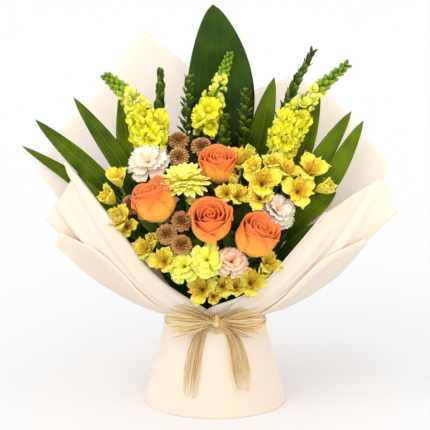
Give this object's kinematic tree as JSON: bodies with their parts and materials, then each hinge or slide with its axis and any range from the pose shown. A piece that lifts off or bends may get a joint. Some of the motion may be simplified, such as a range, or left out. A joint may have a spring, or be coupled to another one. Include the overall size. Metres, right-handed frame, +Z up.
{
  "type": "mixed flower bouquet",
  "caption": "Hand-tied bouquet of mixed flowers and greenery in flared paper sheets, bound with a raffia bow and standing on a flared paper skirt.",
  "frame": {"origin": "on the table, under the middle of the bouquet's outline", "axes": "+Z up, the bouquet's face toward -Y, +X to the viewer's right"},
  "size_m": [0.4482, 0.2244, 0.474],
  "materials": {
    "paper_wrap": "matte cream florist's wrapping paper, slightly translucent",
    "paper_skirt": "smooth matte cream paper",
    "raffia": "natural raffia strands",
    "twine": "jute twine",
    "green_stems": "fresh green stems",
    "rose_petal": "soft orange rose petals with pinker rims",
    "carnation_petal": "pale pink and cream ruffled petals",
    "lime_petal": "pale lemon-green ruffled petals",
    "lemon_petal": "lemon strap petals with a greener middle",
    "snapdragon": "bright yellow florets, lime buds at the tip",
    "button_floret": "tan button chrysanthemum florets",
    "alstroemeria": "yellow tepals streaked red-brown, golden throat",
    "leaf_gloss": "glossy dark green leaf",
    "greenery": "small dark green leaves"
  },
  "bodies": {
    "root": {"wrap_outer": "paper_wrap", "wrap_front_right": "paper_wrap", "wrap_front_left": "paper_wrap", "wrap_back_right": "paper_wrap", "wrap_back_left": "paper_wrap", "skirt": "paper_skirt", "raffia_band": "raffia", "raffia_bow": "raffia", "binding_twine": "twine", "stems": "green_stems", "rose_left": "rose_petal", "rose_top": "rose_petal", "rose_middle": "rose_petal", "rose_right": "rose_petal", "carnation_left": "carnation_petal", "carnation_right": "carnation_petal", "carnation_low": "carnation_petal", "lime_carnation_left": "lime_petal", "lime_carnation_right": "lime_petal", "lemon_chrysanthemum": "lemon_petal", "snapdragon_left": "snapdragon", "snapdragon_middle": "snapdragon", "snapdragon_right": "snapdragon", "button_1": "button_floret", "button_2": "button_floret", "button_3": "button_floret", "button_4": "button_floret", "button_5": "button_floret", "button_6": "button_floret", "button_7": "button_floret", "button_8": "button_floret", "alstroemeria_left": "alstroemeria", "alstroemeria_middle": "alstroemeria", "alstroemeria_upper_right": "alstroemeria", "alstroemeria_far_right": "alstroemeria", "alstroemeria_low_left": "alstroemeria", "alstroemeria_foot": "alstroemeria", "alstroemeria_low_right": "alstroemeria", "leaf_tall": "leaf_gloss", "leaf_left_1": "leaf_gloss", "leaf_left_2": "leaf_gloss", "leaf_left_3": "leaf_gloss", "leaf_left_4": "leaf_gloss", "leaf_left_5": "leaf_gloss", "leaf_right_1": "leaf_gloss", "leaf_right_2": "leaf_gloss", "leaf_right_3": "leaf_gloss", "leaf_right_4": "leaf_gloss", "leaf_under_1": "leaf_gloss", "leaf_under_2": "leaf_gloss", "leaf_under_3": "leaf_gloss", "leaf_under_4": "leaf_gloss", "leaf_under_5": "leaf_gloss", "twig_left": "greenery", "twig_middle": "greenery", "twig_centre": "greenery", "twig_back": "greenery", "twig_right": "greenery"}
  },
  "joints": []
}
